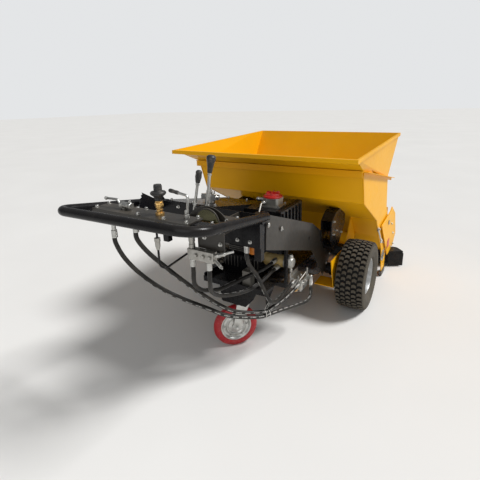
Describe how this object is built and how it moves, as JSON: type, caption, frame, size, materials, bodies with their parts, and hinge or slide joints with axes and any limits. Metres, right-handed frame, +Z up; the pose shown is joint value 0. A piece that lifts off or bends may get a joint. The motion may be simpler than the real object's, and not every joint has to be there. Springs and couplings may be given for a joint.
{
  "type": "walk-behind asphalt paver",
  "caption": "Walk-behind asphalt paver with an open hopper over its drive axle, spreading auger, lifting screed, hydraulic deck and handlebar.",
  "frame": {"origin": "on the ground under the middle of the machine's overall box", "axes": "+Z up, +Y from the operator's handlebar towards the screed, +X to the right seen from the operator"},
  "size_m": [1.482, 2.7701, 1.2703],
  "materials": {
    "yellow_paint": "gloss, scuffed",
    "black_paint": "gloss",
    "tyre": "dusty",
    "rim_silver": "satin",
    "zinc": "zinc plated",
    "cast_aluminium": "as cast",
    "red_plastic": "moulded",
    "cream_paint": "gloss",
    "black_plastic": "moulded",
    "brass": "machined",
    "red_tread": "polyurethane",
    "red_lens": "reflective",
    "worn_steel": "worn, dark",
    "hose_rubber": "braided hydraulic hose"
  },
  "bodies": {
    "chassis": {"wheel_motors": "black_paint", "wheel_plates": "yellow_paint", "hopper_near_wall": "yellow_paint", "hopper_far_wall": "yellow_paint", "hopper_extension": "yellow_paint", "hopper_ledge": "yellow_paint", "side_plate_left": "yellow_paint", "side_plate_right": "yellow_paint", "skid_shoes": "worn_steel", "pivot_pins": "zinc", "main_frame": "black_paint", "side_cover_left": "black_paint", "side_cover_right": "black_paint", "deck_plate": "black_paint", "hopper_brackets": "black_paint", "belly_tray": "black_paint", "engine_block": "black_paint", "hydraulic_tank": "black_paint", "filter_head": "cast_aluminium", "filter_cap": "red_plastic", "charge_pump": "cream_paint", "solenoid_block": "zinc", "hose_bracket": "black_paint", "handlebar": "black_paint", "console": "black_paint", "lever_quadrant": "black_paint", "lever_rods": "zinc", "lever_knobs": "black_plastic", "regulator": "brass", "clamp_levers": "zinc", "toothed_sector": "black_paint", "valve_manifold": "cast_aluminium", "valve_cluster": "zinc", "caster_post": "black_paint", "auger_bearings": "zinc", "depth_adjusters": "zinc", "hose_left": "hose_rubber", "hose_middle": "hose_rubber", "hose_loop": "hose_rubber", "hose_drop": "hose_rubber", "hose_front": "hose_rubber", "hose_fittings": "zinc", "steel_pipes": "cast_aluminium"},
    "wheel_left": {"tyre_left": "tyre", "rim_left": "rim_silver"},
    "wheel_right": {"tyre_right": "tyre", "rim_right": "rim_silver"},
    "caster_yoke": {"caster_fork": "zinc"},
    "caster_wheel": {"caster_tyre": "red_tread", "caster_rim": "zinc"},
    "auger": {"auger_shaft": "black_paint", "auger_flights": "worn_steel"},
    "screed": {"screed_arms": "yellow_paint", "screed_hood": "yellow_paint", "screed_box": "black_paint", "screed_ends": "black_paint", "reflectors": "red_lens"}
  },
  "joints": [
    {"name": "wheel_left_roll", "type": "hinge", "parent": "chassis", "child": "wheel_left", "pos_m": [-0.538, 0.28209, 0.254], "axis": [1, 0, 0], "continuous": true},
    {"name": "wheel_right_roll", "type": "hinge", "parent": "chassis", "child": "wheel_right", "pos_m": [0.538, 0.28209, 0.254], "axis": [1, 0, 0], "continuous": true},
    {"name": "caster_swivel", "type": "hinge", "parent": "chassis", "child": "caster_yoke", "pos_m": [0.033, -0.52591, 0.31], "axis": [0, 0, 1], "continuous": true},
    {"name": "caster_roll", "type": "hinge", "parent": "caster_yoke", "child": "caster_wheel", "pos_m": [-0.00042, -0.56051, 0.14], "axis": [0.7193, -0.6947, 0], "continuous": true},
    {"name": "auger_turn", "type": "hinge", "parent": "chassis", "child": "auger", "pos_m": [0, 0.84209, 0.205], "axis": [1, 0, 0], "continuous": true},
    {"name": "screed_lift", "type": "hinge", "parent": "chassis", "child": "screed", "pos_m": [0, 0.92209, 0.478], "axis": [1, 0, 0], "range_deg": [-1, 12]}
  ]
}
